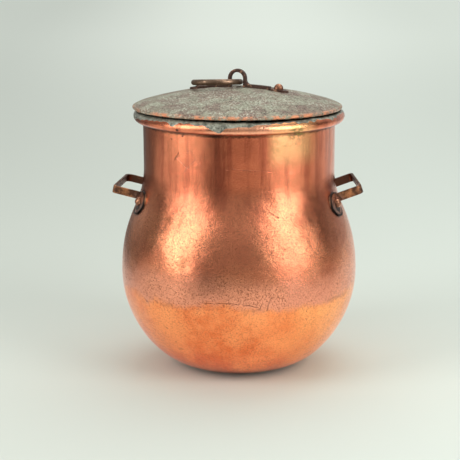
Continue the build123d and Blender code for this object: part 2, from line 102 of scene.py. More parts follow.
BEAD_CENTRE = LID_RADIUS - BEAD_RADIUS
KNUCKLE_REACH = (LID_KNUCKLE_RADIUS - BEAD_RADIUS) * sin(LID_EDGE_SLOPE)
KNUCKLE_HEIGHT = -(LID_KNUCKLE_RADIUS - BEAD_RADIUS) * cos(LID_EDGE_SLOPE)
CROWN_LEVER = LID_CROWN_RADIUS - LID_KNUCKLE_RADIUS
CROWN_TURN = asin((BEAD_CENTRE - KNUCKLE_REACH) / CROWN_LEVER)
LID_RISE = KNUCKLE_HEIGHT - CROWN_LEVER * cos(CROWN_TURN) + LID_CROWN_RADIUS
LID_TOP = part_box("lid_plate")[1][2] / MM
LID_SEAT = LID_TOP - LID_CROWN_RADIUS - (LID_RISE - LID_CROWN_RADIUS) * cos(LID_TILT)

# Hammer marks: depth in millimetres and size of the broad unevenness and of the fine marks
BROAD_SINK, BROAD_SIZE = 0.62, 46.0
FINE_SINK, FINE_SIZE = 0.15, 13.0
LID_BROAD_SINK, LID_BROAD_SIZE = 0.3, 24.0
LID_FINE_SINK, LID_FINE_SIZE = 0.14, 7.0
LID_CALM_MIDDLE = 52.0      # the lid is smooth inside this radius, under the strap
LID_CALM_EDGE = 110.0       # and outside this one, at its bead
LID_BRIGHT_EDGE = 113.6     # the sheet is bare copper about this radius too, where the bead begins

# Meshes: points round each sheet, and spacing of their rows in millimetres
BODY_TURNS = SEAM_TABS * 18
LID_TURNS = 360
OUTER_STEP = 2.0
INNER_STEP = 4.0

# Camera and studio, in metres; lens and sensor in millimetres
CAMERA_PLACE = (-0.0099, -1.650, 0.5297)
CAMERA_PITCH = radians(12.952)
CAMERA_LENS = 118.72
SENSOR = 36.0
FLOOR_RADIUS = 14
FLOOR_DROP = 0.0004         # the floor lies this far below the base
LAMP_AIM = 0.17             # height that the lamps point at

# Strength of the studio's own light
FLOOR_GLOW = (0.015, 0.405)     # of the floor for the camera, near the pot and far behind it
FLOOR_SHINE = (0.4, 0.9)        # of its bright far bands in the copper, left and right
ROOM_FRONT = (0.16, 0.50)       # of the room beside the pot, and behind the camera
ROOM_BEHIND = (0.36, 0.48)      # added behind the pot, left and right
ROOM_TOP = 0.42                 # added overhead

# Feet of the handles, in metres: each band is 1 inside its first radius and 0 beyond its second
FOOT_RIVETS = ("right_front_rivet", "right_back_rivet", "left_front_rivet", "left_back_rivet")
FOOT_BEYOND = radians(1.3)      # from a rivet to the middle of its foot, about the pot's axis
SHADE_ROUND_FEET_BAND = (0.0130, 0.0180)    # painted shade: wall darkened about a foot
GAP_SHADOW_BAND = (0.0134, 0.0146)     # painted shadow: black line on the wall round a foot
TINT_BAND = (0.0125, 0.0160)    # the foot's own pinkish colour
RIM_BAND = (0.0143, 0.0152)     # the foot's edge, painted dark as shade, lies between this
FACE_BAND = (0.0116, 0.0121)    # and this
RIVET_SHADOW_BAND = (0.0060, 0.0074)    # painted shadow about the rivet's head
RIVET_SHADOW_DROP = 0.003               # which lies lower than the middle of the foot
HANDLE_MIDDLES = (0.016, 0.0065)    # Y half way between the arms, left and right handle
BEYOND_ARMS = (0.0355, 0.0385)      # from there: the edge is dark only beyond the arms

# Colours of the vessel; a pair is a darker and a brighter shade
COPPER_SHADES = ((0.62, 0.20, 0.105), (0.82, 0.31, 0.155))
NECK_RED = (0.77, 0.225, 0.12)
NECK_STREAK = (0.42, 0.105, 0.06)
# painted highlight: gold where the neck's right highlight falls
NECK_GOLD_HIGHLIGHT = (0.90, 0.48, 0.22)
# painted highlight on the roll's front
ROLL_HIGHLIGHT = (1.0, 0.56, 0.36)
BELT_PINK = (0.82, 0.37, 0.25)
BOWL_SHADES = ((0.82, 0.21, 0.07), (1.0, 0.37, 0.14))
# painted highlight: gold on the bowl's right side
BOWL_GOLD_HIGHLIGHT = (1.0, 0.46, 0.16)
GRAIN_BROWN = (0.26, 0.09, 0.05)
PIT_BROWN = (0.11, 0.045, 0.03)
# painted shade, with some dirt, in the crease under the roll
CREASE_SHADE_AND_DIRT = (0.09, 0.045, 0.03)
# painted shade on the wall round the feet
PAINTED_SHADE_ROUND_FEET = (0.16, 0.06, 0.04)
# painted shadow at the feet's edge
FOOT_GAP_SHADOW = (0.018, 0.010, 0.008)
# darker towards the bottom
BOTTOM_DARKENING = (0.20, 0.10, 0.07)
SEAM_BROWN = (0.24, 0.085, 0.05)
CRUD = (0.24, 0.19, 0.065)
PALE_SCRATCH = (0.95, 0.62, 0.50)
# dark scratches, and painted shade in a few dents
DARK_SCRATCH_AND_DENT_SHADE = (0.10, 0.04, 0.03)
TIN_SHADES = ((0.10, 0.10, 0.08), (0.42, 0.425, 0.35))
TIN_SPECK = (0.045, 0.04, 0.035)

# Colours of the lid, the handles and the small pieces
LID_SHADES = ((0.23, 0.15, 0.115), (0.33, 0.32, 0.235))
LID_PINK = (0.33, 0.21, 0.165)
VERDIGRIS = (0.64, 0.685, 0.545)
LID_SPOT = (0.05, 0.04, 0.033)
BEAD_COPPER = (0.80, 0.34, 0.19)
LID_UNDERSIDE = (0.22, 0.20, 0.175)
HANDLE_SHADES = ((0.10, 0.047, 0.03), (0.55, 0.24, 0.11))
STRAP_SHADES = ((0.085, 0.05, 0.04), (0.52, 0.28, 0.18))
RING_SHADES = ((0.14, 0.09, 0.06), (0.38, 0.24, 0.165))
RIVET_SHADES = ((0.20, 0.09, 0.055), (0.66, 0.32, 0.19))
FOOT_SHADES = ((0.14, 0.07, 0.055), (0.42, 0.23, 0.175))
# painted shade on the feet's edges
FOOT_EDGE_SHADE = (0.016, 0.011, 0.009)
# painted shadow below the rivets' heads
SHADOW_BELOW_RIVETS = (0.022, 0.014, 0.011)
BRONZE_SPOT = (0.07, 0.04, 0.03)
IRON_SHADES = ((0.07, 0.06, 0.055), (0.16, 0.12, 0.10))

# Colours of the studio; a pair is left and right of the pot
FLOOR_SEEN = ((0.585, 0.625, 0.58), (0.665, 0.72, 0.67))    # what the camera sees
FLOOR_NEAR = ((0.78, 0.78, 0.75), (0.96, 0.97, 0.93))       # and the rest what the copper mirrors
FLOOR_LIT = ((0.62, 0.62, 0.585), (0.45, 0.45, 0.42))
FLOOR_FAR = (0.98, 0.98, 0.94)
FLOOR_GLOOM = ((0.49, 0.41, 0.345), (0.05, 0.045, 0.04))    # half shade and deep shade
FLOOR_GLOW_TINT = (0.95, 1.0, 0.92)
LAMP_TINT = (1.0, 0.99, 0.96)
ROOM_TINT = (0.95, 0.98, 0.94)
ROOM_SEEN = (0.62, 0.66, 0.61)

# Width of the scratches, in metres
DARK_LINE_WIDTH = 0.0007
PALE_LINE_WIDTH = 0.0006

# Marks on the front: lines from (x, z) to (x, z) and spots (x, z, radius), in millimetres; some
# dark lines are painted shade in dents
DARK_LINES_AND_DENT_SHADES = [
    ((0.0, 253.0), (-7.2, 239.2)), ((-7.2, 239.2), (4.1, 237.8)), ((4.1, 237.8), (37.4, 234.8)),
    ((-63.9, 253.3), (-72.8, 231.6)), ((30.2, 193.7), (40.7, 187.0)),
    # the first line is painted shade along a dent
    ((-66.0, 140.2), (-52.0, 138.8)), ((-62.0, 128.5), (-50.0, 126.0)),
    ((-36.5, 100.9), (-17.7, 101.6)), ((-17.7, 101.6), (1.0, 100.8)), ((1.0, 100.8), (17.7, 97.7)),
    ((20.8, 95.3), (28.1, 109.2)), ((28.2, 92.7), (33.3, 106.7)),
    # the first two lines are painted shade in two dents
    ((-101.9, 92.8), (-98.5, 90.5)), ((-90.5, 94.2), (-84.9, 92.2)), ((30.0, 215.0), (43.0, 212.0)),
    ((-66.0, 42.0), (-59.0, 39.0)), ((71.0, 27.0), (79.0, 29.0)), ((-81.0, 67.0), (-76.0, 64.5)),
]
PALE_LINES = [
    ((-51.0, 256.9), (-66.1, 246.6)), ((-51.0, 256.9), (-41.6, 240.8)),
    ((-57.6, 232.8), (-43.7, 249.1)), ((-66.1, 246.6), (-52.0, 236.0)),
]
SPOTS = [
    (-0.5, 282.5, 0.9), (24.2, 282.8, 0.9), (-54.7, 285.3, 0.8), (-64.8, 277.6, 1.9),
    (-59.9, 270.8, 0.9),
]
CRUD_SPOT = (59.0, 275.0, 9.0)


# ---------------------------------------------------------------- vessel sheets

def outer_radius(z):
    """Outside radius of the vessel at a height."""
    if z >= NECK_FOOT:
        return NECK_RADIUS
    if z >= SHOULDER_TOP:
        return THROAT_CENTRE - sqrt(THROAT_RADIUS ** 2 - (NECK_FOOT - z) ** 2)
    if z >= BELLY_HEIGHT:
        return SHOULDER_CENTRE + sqrt(SHOULDER_RADIUS ** 2 - (z - BELLY_HEIGHT) ** 2)
    if z >= HEEL_TOP:
        return BILGE_CENTRE + sqrt(BILGE_RADIUS ** 2 - (BELLY_HEIGHT - z) ** 2)
    return BASE_RADIUS + sqrt(max(0.0, HEEL_RADIUS ** 2 - (HEEL_RADIUS - z) ** 2))


def wall_normal(z):
    """Outward normal of the vessel's wall at a height, as (radial, upward)."""
    if z >= NECK_FOOT:
        return (1.0, 0.0)
    if z >= SHOULDER_TOP:
        up = (NECK_FOOT - z) / THROAT_RADIUS
    elif z >= BELLY_HEIGHT:
        up = (z - BELLY_HEIGHT) / SHOULDER_RADIUS
    elif z >= HEEL_TOP:
        up = (z - BELLY_HEIGHT) / BILGE_RADIUS
    else:
        up = (z - HEEL_RADIUS) / HEEL_RADIUS
    return (sqrt(max(0.0, 1 - up * up)), up)


def seam_height(angle):
    """Height of the seam: the tabs as the hammer has left them, uneven and rounded."""
    around = (cos(angle), sin(angle))
    drift = noise.noise(Vector((around[0] * 2.1, around[1] * 2.1, 4.0)))
    size = 0.6 + 0.9 * noise.noise(Vector((around[0] * 5, around[1] * 5, 11.0)))
    ragged = noise.noise(Vector((around[0] * 31, around[1] * 31, 2.0)))
    swing = sin(SEAM_TABS * angle + 2.6 * drift)
    return SEAM_HEIGHT + SEAM_WAVE * (size * swing + 0.9 * ragged)


def dent(point, centre, reach, depth):
    """Depth of one soft dent at a point, in millimetres."""
    away = (point - centre).length / reach
    return depth * exp(-away * away) if away < 3 else 0.0


def on_wall(angle, z):
    """Point on the vessel's outside, in millimetres; the angle is from +X, in degrees."""
    r = outer_radius(z)
    return Vector((r * cos(radians(angle)), r * sin(radians(angle)), z))


# Dents on the front and, so that no side is bare, a few round the back
DENTS = [
    (on_wall(-141.0, 92.0), 3.2, 0.7), (on_wall(-132.8, 93.2), 3.6, 0.7),
    (on_wall(-116.0, 138.0), 6.0, 0.8), (on_wall(-78.0, 96.0), 9.0, 0.4),
    (on_wall(-66.0, 148.0), 17.0, 0.5), (on_wall(-118.0, 158.0), 19.0, 0.5),
    (on_wall(-95.0, 206.0), 14.0, 0.45), (on_wall(-58.0, 236.0), 13.0, 0.4),
    (on_wall(62.0, 120.0), 12.0, 0.7), (on_wall(118.0, 160.0), 16.0, 0.6),
    (on_wall(88.0, 60.0), 9.0, 0.6), (on_wall(148.0, 96.0), 6.0, 0.7),
]


def sheet_sink(point, z):
    """How far the hammered vessel lies inside its true round, in millimetres."""
    broad = 0.5 + 0.5 * noise.noise(point / BROAD_SIZE)
    fine = 0.5 + 0.5 * noise.noise(point / FINE_SIZE + Vector((7, 3, 1)))
    sink = BROAD_SINK * broad + FINE_SINK * fine
    for centre, reach, depth in DENTS:
        sink += dent(point, centre, reach, depth)
    foot_calm = exp(-((z - HANDLE_HEIGHT + FEET_BELOW) / FEET_CALM) ** 2)
    foot_calm *= exp(-((abs(point.x) - FEET_ASIDE) / FEET_CALM) ** 2)
    rim_calm = min(1.0, max(0.0, (RIM_HEIGHT - z) / 30.0))
    floor_calm = min(1.0, max(0.0, z / 12.0))
    return sink * (1 - 0.92 * foot_calm) * (0.25 + 0.75 * rim_calm) * floor_calm


def steps(start, end, size):
    """Evenly spaced values from start to end, both included."""
    count = max(2, round(abs(end - start) / size) + 1)
    return [start + (end - start) * k / (count - 1) for k in range(count)]


def arc_rows(centre, radius, start, end, size):
    """Points (radius, height) along an arc, angles in degrees."""
    return [
        (centre[0] + radius * cos(radians(a)), centre[1] + radius * sin(radians(a)))
        for a in steps(start, end, size)
    ]


def body_rows():
    """Closed section of the upper sheet, as (radius or None, height, side).

    Side 1 is the wall's outside and -1 its inside, both with the radius still to be worked out;
    0 is the roll, 2 the bowl's bottom outside and 3 its bottom inside.
    """
    rows = [(None, z, 1) for z in steps(SEAM_HEIGHT, RIM_HEIGHT, OUTER_STEP)]
    roll = (ROLL_CENTRE, RIM_HEIGHT)
    rows += [(r, z, 0) for r, z in arc_rows(roll, ROLL_INSIDE, 180, 180 - ROLL_TURN, 22)[1:]]
    rows += [(r, z, 0) for r, z in arc_rows(roll, ROLL_OUTSIDE, 180 - ROLL_TURN, 180, 9)]
    rows += [(None, z, -1) for z in steps(RIM_HEIGHT, SEAM_HEIGHT, INNER_STEP)[1:]]
    return rows


def bowl_rows():
    """Open section of the bottom bowl from the axis outside to the axis inside."""
    flat = [(r, 0.0, 2) for r in steps(4.0, BASE_RADIUS, 6.0)]
    heel = []
    for r, z in arc_rows((BASE_RADIUS, HEEL_RADIUS), HEEL_RADIUS, -90, -90 + 14, 2)[1:]:
        heel.append((r, z, 2))
    side = [(None, z, 1) for z in steps(heel[-1][1], SEAM_HEIGHT, OUTER_STEP)[1:]]
    inner = [(None, z, -1) for z in steps(SEAM_HEIGHT, heel[-1][1], INNER_STEP)]
    inner_heel = [(r, WALL + 0.5, 3) for r in steps(BASE_RADIUS, 4.0, 6.0)]
    return flat + heel + side + inner + inner_heel


def bend_to_seam(z, seam, below):
    """Height of a row once its end nearest the seam follows the seam."""
    far = SEAM_HEIGHT - SEAM_REACH if below else SEAM_HEIGHT + SEAM_REACH
    share = (z - SEAM_HEIGHT) / (far - SEAM_HEIGHT)
    if share >= 1 or share < 0:
        return z
    return seam + share * (far - seam)


def sheet_point(row, angle, seam, below):
    """One point of a vessel sheet, in millimetres, and how near it lies to the seam."""
    radius, height, side = row
    near = 0.0
    if side in (1, -1):
        height = bend_to_seam(height, seam, below)
        radius = outer_radius(height)
        near = exp(-((height - seam) / SEAM_CRACK) ** 2)
        out, up = wall_normal(height)
        if side == -1:
            radius -= WALL * out
            height -= WALL * up
    out_of_roll = hypot(radius - ROLL_CENTRE, height - RIM_HEIGHT)
    if side == 0 and out_of_roll > ROLL_INSIDE + 1:
        section = degrees(atan2(height - RIM_HEIGHT, radius - ROLL_CENTRE))
        share = 1 + tin_ridge(section, angle) / out_of_roll
        radius = ROLL_CENTRE + (radius - ROLL_CENTRE) * share
        height = RIM_HEIGHT + (height - RIM_HEIGHT) * share
    point = Vector((radius * cos(angle), radius * sin(angle), height))
    if side in (1, -1):
        sink = sheet_sink(point, height)
        way = Vector((out * cos(angle), out * sin(angle), up))
        point -= way * sink
    return point, near


def make_mesh(name, points, faces, masks):
    """Object from points in millimetres, with its named masks as point attributes."""
    mesh = bpy.data.meshes.new(name)
    mesh.from_pydata([p * MM for p in points], [], faces)
    mesh.validate()
    for key, values in masks.items():
        layer = mesh.attributes.new(key, "FLOAT", "POINT")
        layer.data.foreach_set("value", values)
    mesh.polygons.foreach_set("use_smooth", [True] * len(mesh.polygons))
    mesh.update()
    obj = bpy.data.objects.new(name, mesh)
    bpy.context.collection.objects.link(obj)
    return obj


def turn_faces(row_count, turns, closed):
    """Quads of a turned grid whose rows run along the section."""
    faces = []
    for i in range(row_count if closed else row_count - 1):
        low = i * turns
        high = (i + 1) % row_count * turns
        for j in range(turns):
            k = (j + 1) % turns
            faces.append((low + j, low + k, high + k, high + j))
    return faces


def tin_limit(angle):
    """Where the tin ends on the roll, in degrees round the roll's section: 90 is its top."""
    around = Vector((cos(angle) * 2.6, sin(angle) * 2.6, 9.0))
    limit = 52 + 30 * noise.noise(around) + 26 * noise.noise(around * 6)
    for place, reach, run in TIN_RUNS:
        away = (degrees(angle) - place + 180) % 360 - 180
        limit -= run * exp(-((away / reach) ** 2))
    return limit


def tin_ridge(section, angle):
    """Thickness of the tin built up on the roll in front, under the raised edge of the lid."""
    front = min(1.0, max(0.0, (-sin(angle) - 0.35) / 0.4))
    lumps = 1.0 + 0.35 * noise.noise(Vector((cos(angle) * 9, sin(angle) * 9, 2.0)))
    return TIN_BUILD_UP * front * lumps * exp(-(((section - 100.0) / 34.0) ** 2))


def tin_mask(row, angle):
    """1 on the tinned inside and on the tin that has run over the roll."""
    radius, height, side = row
    if side in (-1, 3):
        return 1.0
    if side != 0:
        return 0.0
    section = degrees(atan2(height - RIM_HEIGHT, radius - ROLL_CENTRE))
    return min(1.0, max(0.0, 0.5 + (section - tin_limit(angle)) / 24))


def sharpen(obj, rows):
    """Keeps the corner at the given rows of a sheet crisp."""
    for edge in obj.data.edges:
        first, second = (v // BODY_TURNS for v in edge.vertices)
        if first == second and first in rows:
            edge.use_edge_sharp = True


def make_sheet(name, rows, below):
    """One of the vessel's two sheets."""
    points = []
    masks = {"seam": [], "tin": []}
    seams = [seam_height(TAU * j / BODY_TURNS) for j in range(BODY_TURNS)]
    for row in rows:
        for j in range(BODY_TURNS):
            angle = TAU * j / BODY_TURNS
            point, near = sheet_point(row, angle, seams[j], below)
            points.append(point)
            masks["seam"].append(near)
            masks["tin"].append(tin_mask(row, angle))
    faces = turn_faces(len(rows), BODY_TURNS, not below)
    if below:
        last = (len(rows) - 1) * BODY_TURNS
        faces.append(tuple(reversed(range(BODY_TURNS))))
        faces.append(tuple(range(last, last + BODY_TURNS)))
    sheet = make_mesh(name, points, faces, masks)
    sides = [row[2] for row in rows]
    last_outside = len(sides) - 1 - sides[::-1].index(1)
    corners = {last_outside, sides.index(-1)} if below else {0, len(rows) - 1}
    sharpen(sheet, corners)
    return sheet


# ---------------------------------------------------------------- lid

def lid_rows():
    """Closed section of the lid from its top outside, round the bead, to its top inside."""
    crown = (0.0, LID_RISE - LID_CROWN_RADIUS)
    knuckle = (CROWN_LEVER * sin(CROWN_TURN), KNUCKLE_HEIGHT)
    turn = degrees(CROWN_TURN)
    slope = degrees(LID_EDGE_SLOPE)
    bead = (BEAD_CENTRE, 0.0)
    start = 90 - slope
    rows = arc_rows(crown, LID_CROWN_RADIUS, 89.4, 90 - turn, 0.34)
    rows += arc_rows(knuckle, LID_KNUCKLE_RADIUS, 90 - turn, start, 1.5)[1:]
    bead_at = len(rows)
    rows += arc_rows(bead, BEAD_RADIUS, start, start - BEAD_TURN, 14)[1:]
    bead_end = len(rows)
    rows += arc_rows(bead, BEAD_RADIUS - LID_SHEET, start - BEAD_TURN, start, 24)
    rows += arc_rows(knuckle, LID_KNUCKLE_RADIUS - LID_SHEET, start, 90 - turn, 2.5)[1:]
    rows += arc_rows(crown, LID_CROWN_RADIUS - LID_SHEET, 90 - turn, 89.4, 0.6)[1:]
    return rows, bead_at, bead_end


def lid_matrix():
    """From the lid's own frame to the shared frame, in millimetres."""
    place = Matrix.Translation(Vector((LID_SHIFT[0], LID_SHIFT[1], LID_SEAT)))
    return place @ Matrix.Rotation(-LID_TILT, 4, "X")


def make_lid():
    """The lid's sheet, lightly uneven, with masks of its bead and of its underside."""
    rows, bead_at, bead_end = lid_rows()
    to_frame = lid_matrix()
    points = []
    masks = {"edge": [], "under": []}
    for i, (radius, height) in enumerate(rows):
        for j in range(LID_TURNS):
            angle = TAU * j / LID_TURNS
            point = Vector((radius * cos(angle), radius * sin(angle), height))
            calm = min(1.0, max(0.0, (radius - LID_CALM_MIDDLE) / 20))
            calm *= min(1.0, max(0.0, (LID_CALM_EDGE - radius) / 12))
            broad = 0.5 + 0.5 * noise.noise(point / LID_BROAD_SIZE)
            fine = 0.5 + 0.5 * noise.noise(point / LID_FINE_SIZE)
            point.z -= LID_BROAD_SINK * broad * calm + LID_FINE_SINK * fine * calm
            points.append(to_frame @ point)
            near_edge = exp(-((radius - LID_BRIGHT_EDGE) / 0.9) ** 2)
            masks["edge"].append(1.0 if bead_at <= i < bead_end else near_edge)
            masks["under"].append(1.0 if i >= bead_end else 0.0)
    faces = turn_faces(len(rows), LID_TURNS, False)
    last = (len(rows) - 1) * LID_TURNS
    faces.append(tuple(reversed(range(LID_TURNS))))
    faces.append(tuple(range(last, last + LID_TURNS)))
    faces = [tuple(reversed(f)) for f in faces]
    return make_mesh("lid_sheet", points, faces, masks)


# ---------------------------------------------------------------- materials

class Shader:
    """A material's nodes, made one after another."""

    def __init__(self, name):
        self.material = bpy.data.materials.new(name)
        self.material.use_nodes = True
        self.tree = self.material.node_tree
        self.tree.nodes.clear()
        out = self.tree.nodes.new("ShaderNodeOutputMaterial")
        self.skin = self.tree.nodes.new("ShaderNodeBsdfPrincipled")
        self.tree.links.new(self.skin.outputs[0], out.inputs[0])
        self.place = self.tree.nodes.new("ShaderNodeTexCoord").outputs["Object"]

    def link(self, source, node, socket):
        """Sets a socket to a number or a colour, or links another node's output to it."""
        if isinstance(source, (int, float)):
            node.inputs[socket].default_value = source
        elif isinstance(source, tuple):
            node.inputs[socket].default_value = (*source, 1.0)
        else:
            self.tree.links.new(source, node.inputs[socket])

    def stretch(self, x, y, z):
        """The place, scaled apart along each axis."""
        node = self.tree.nodes.new("ShaderNodeMapping")
        node.inputs["Scale"].default_value = (x, y, z)
        self.tree.links.new(self.place, node.inputs["Vector"])
        return node.outputs[0]

    def noise(self, scale, detail=4.0, rough=0.55, place=None):
        """Cloudy noise about 0.5."""
        node = self.tree.nodes.new("ShaderNodeTexNoise")
        node.inputs["Scale"].default_value = scale
        node.inputs["Detail"].default_value = detail
        node.inputs["Roughness"].default_value = rough
        self.tree.links.new(place or self.place, node.inputs["Vector"])
        return node.outputs["Fac"]

    def cells(self, scale):
        """Distance to the nearest of many scattered points."""
        node = self.tree.nodes.new("ShaderNodeTexVoronoi")
        node.inputs["Scale"].default_value = scale
        self.tree.links.new(self.place, node.inputs["Vector"])
        return node.outputs["Distance"]

    def span(self, value, low, high, to_low=0.0, to_high=1.0):
        """A value spread from one range to another, clamped."""
        node = self.tree.nodes.new("ShaderNodeMapRange")
        node.interpolation_type = "SMOOTHSTEP"
        self.link(value, node, "Value")
        node.inputs["From Min"].default_value = low
        node.inputs["From Max"].default_value = high
        node.inputs["To Min"].default_value = to_low
        node.inputs["To Max"].default_value = to_high
        return node.outputs[0]

    def math(self, kind, a, b=0.0):
        """One operation on two numbers or outputs."""
        node = self.tree.nodes.new("ShaderNodeMath")
        node.operation = kind
        self.link(a, node, 0)
        self.link(b, node, 1)
        return node.outputs[0]

    def times(self, a, b):
        return self.math("MULTIPLY", a, b)

    def plus(self, a, b):
        return self.math("ADD", a, b)

    def minus(self, a, b):
        return self.math("SUBTRACT", a, b)

    def mix(self, share, a, b):
        """Colour a turning to colour b as the share goes from 0 to 1."""
        node = self.tree.nodes.new("ShaderNodeMix")
        node.data_type = "RGBA"
        self.link(share, node, 0)
        self.link(a, node, 6)
        self.link(b, node, 7)
        return node.outputs[2]

    def mask(self, name):
        """A mask that the mesh carries."""
        node = self.tree.nodes.new("ShaderNodeAttribute")
        node.attribute_name = name
        return node.outputs["Fac"]

    def axis(self, name):
        """One coordinate of the place, in metres."""
        node = self.tree.nodes.new("ShaderNodeSeparateXYZ")
        self.tree.links.new(self.place, node.inputs[0])
        return node.outputs[name]

    def vector(self, kind, a, b=None, scale=None):
        """One operation on vectors."""
        node = self.tree.nodes.new("ShaderNodeVectorMath")
        node.operation = kind
        for socket, value in ((0, a), (1, b), ("Scale", scale)):
            if isinstance(value, (tuple, float)):
                node.inputs[socket].default_value = value
            elif value is not None:
                self.tree.links.new(value, node.inputs[socket])
        return node.outputs["Value" if kind in ("LENGTH", "DOT_PRODUCT") else "Vector"]

    def front_place(self):
        """The place seen from the front as (x, 0, z), a little shaken so that lines waver."""
        flat = self.vector("MULTIPLY", self.place, (1.0, 0.0, 1.0))
        shake = self.tree.nodes.new("ShaderNodeTexNoise")
        shake.inputs["Scale"].default_value = 70
        self.tree.links.new(self.place, shake.inputs["Vector"])
        shake = self.vector("SUBTRACT", shake.outputs["Color"], (0.5, 0.5, 0.5))
        return self.vector("ADD", flat, self.vector("SCALE", shake, scale=0.004))

    def near_line(self, flat, ends, width):
        """1 within a width in metres of a line between two places in millimetres."""
        (x0, z0), (x1, z1) = ends
        along = ((x1 - x0) * MM, 0.0, (z1 - z0) * MM)
        square = along[0] ** 2 + along[2] ** 2
        off = self.vector("SUBTRACT", flat, (x0 * MM, 0.0, z0 * MM))
        share = self.vector("DOT_PRODUCT", off, tuple(a / square for a in along))
        share = self.math("MINIMUM", self.math("MAXIMUM", share, 0.0), 1.0)
        off = self.vector("SUBTRACT", off, self.vector("SCALE", along, scale=share))
        return self.span(self.vector("LENGTH", off), width, width * 0.3)

    def near_spot(self, flat, x, z, radius):
        """1 within a radius of a place, all in millimetres."""
        off = self.vector("SUBTRACT", flat, (x * MM, 0.0, z * MM))
        return self.span(self.vector("LENGTH", off), radius * 1.3 * MM, radius * 0.6 * MM)

    def near_feet(self, band, drop=0.0):
        """1 inside the band's first radius of any foot, 0 beyond its second, in metres."""
        inner, outer = band
        masks = []
        for x, y, z in foot_places():
            off = self.vector("SUBTRACT", self.place, (x, y, z - drop))
            masks.append(self.span(self.vector("LENGTH", off), outer, inner))
        return self.most(masks)

    def most(self, masks):
        """The highest of several masks at each place."""
        total = masks[0]
        for mask in masks[1:]:
            total = self.math("MAXIMUM", total, mask)
        return total

    def bump(self, height, depth, below=None):
        """Bump of a depth in metres, over an earlier bump."""
        node = self.tree.nodes.new("ShaderNodeBump")
        node.inputs["Distance"].default_value = depth
        self.tree.links.new(height, node.inputs["Height"])
        if below is not None:
            self.tree.links.new(below, node.inputs["Normal"])
        return node.outputs[0]

    def finish(self, color, roughness, metallic, normal=None):
        """The material, once its main sockets are set."""
        self.link(color, self.skin, "Base Color")
        self.link(roughness, self.skin, "Roughness")
        self.link(metallic, self.skin, "Metallic")
        if normal is not None:
            self.tree.links.new(normal, self.skin.inputs["Normal"])
        return self.material


def middle(node):
    """Middle of a CAD node's box."""
    low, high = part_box(node)
    return tuple((a + b) / 2 for a, b in zip(low, high))


def foot_places():
    """Middle of each round foot on the wall: a little beyond its rivet, away from the arm."""
    places = []
    for rivet in FOOT_RIVETS:
        x, y, z = middle(rivet)
        turn = -FOOT_BEYOND if ("front" in rivet) == ("right" in rivet) else FOOT_BEYOND
        places.append((x * cos(turn) - y * sin(turn), x * sin(turn) + y * cos(turn), z))
    return places


def old_tin(s):
    """Colour of dull tin with dark specks, and a ragged mask of where it lies."""
    color = s.mix(s.span(s.noise(120, 6, 0.75), 0.38, 0.62), *TIN_SHADES)
    color = s.mix(s.span(s.noise(420, 4, 0.8), 0.55, 0.66), color, TIN_SPECK)
    ragged = s.times(s.minus(s.noise(330, 5, 0.8), 0.5), 1.5)
    return color, s.span(s.plus(s.mask("tin"), ragged), 0.42, 0.62)


def vessel_marks(s):
    """Masks of dark scratches and spots, with painted shade in a few dents, and of pale scratches,
    on the front.
    """
    flat = s.front_place()
    front = s.span(s.axis("Y"), 0.0, -0.02)
    dark = s.most([s.near_line(flat, ends, DARK_LINE_WIDTH) for ends in DARK_LINES_AND_DENT_SHADES])
    pale = s.most([s.near_line(flat, ends, PALE_LINE_WIDTH) for ends in PALE_LINES])
    spots = s.most([s.near_spot(flat, *spot) for spot in SPOTS])
    broken = s.span(s.noise(120, 3), 0.36, 0.5)
    dark = s.math("MAXIMUM", s.times(s.times(dark, broken), 0.6), spots)
    return s.times(dark, front), s.times(pale, front)


def neck_colour(s, color, x, z):
    """The colour with the redder neck, its streaks, a golden painted highlight and a painted
    highlight on the roll.
    """
    color = s.mix(s.times(s.span(z, 0.175, 0.225), 0.7), color, NECK_RED)
    streak = s.span(s.noise(1.0, 5, 0.65, s.stretch(85, 85, 6)), 0.46, 0.62, 0.0, 0.7)
    streak = s.times(streak, s.span(z, 0.16, 0.23, 0.2, 1.0))
    color = s.mix(streak, color, NECK_STREAK)
    aside = s.math("ABSOLUTE", x)
    # Painted highlight: a golden tint laid where the neck's right highlight falls.
    golden = s.times(s.span(aside, 0.026, 0.037), s.span(aside, 0.086, 0.070))
    golden = s.times(golden, s.span(z, 0.232, 0.258, 0.0, 0.8))
    golden = s.times(golden, s.span(x, -0.02, 0.03, 0.1, 1.0))
    golden = s.times(golden, s.span(s.noise(25, 4), 0.34, 0.55, 0.5, 1.0))
    color = s.mix(golden, color, NECK_GOLD_HIGHLIGHT)
    # Painted highlight on the front of the roll.
    brightening = s.times(s.span(z, 0.2735, 0.2755), s.span(aside, 0.045, 0.022, 0.0, 0.6))
    return s.mix(brightening, color, ROLL_HIGHLIGHT)


def vessel_colour(s):
    """Copper from top to bottom: red and streaked neck, golden belly, pale belt, orange bowl."""
    x, z = s.axis("X"), s.axis("Z")
    color = s.mix(s.span(s.noise(15, 6, 0.6), 0.36, 0.66), *COPPER_SHADES)
    color = neck_colour(s, color, x, z)
    wavy = s.plus(z, s.span(s.noise(20, 5, 0.65), 0.2, 0.8, -0.008, 0.008))
    belt = s.times(s.span(wavy, 0.090, 0.099), s.span(wavy, 0.136, 0.112))
    color = s.mix(s.times(belt, 0.5), color, BELT_PINK)
    bowl = s.mix(s.span(s.noise(18, 7, 0.7), 0.36, 0.62), *BOWL_SHADES)
    # Painted highlight: the bowl turns golden towards its right side.
    bowl = s.mix(s.span(x, 0.02, 0.09, 0.0, 0.5), bowl, BOWL_GOLD_HIGHLIGHT)
    return s.mix(s.span(wavy, 0.101, 0.089), color, bowl)


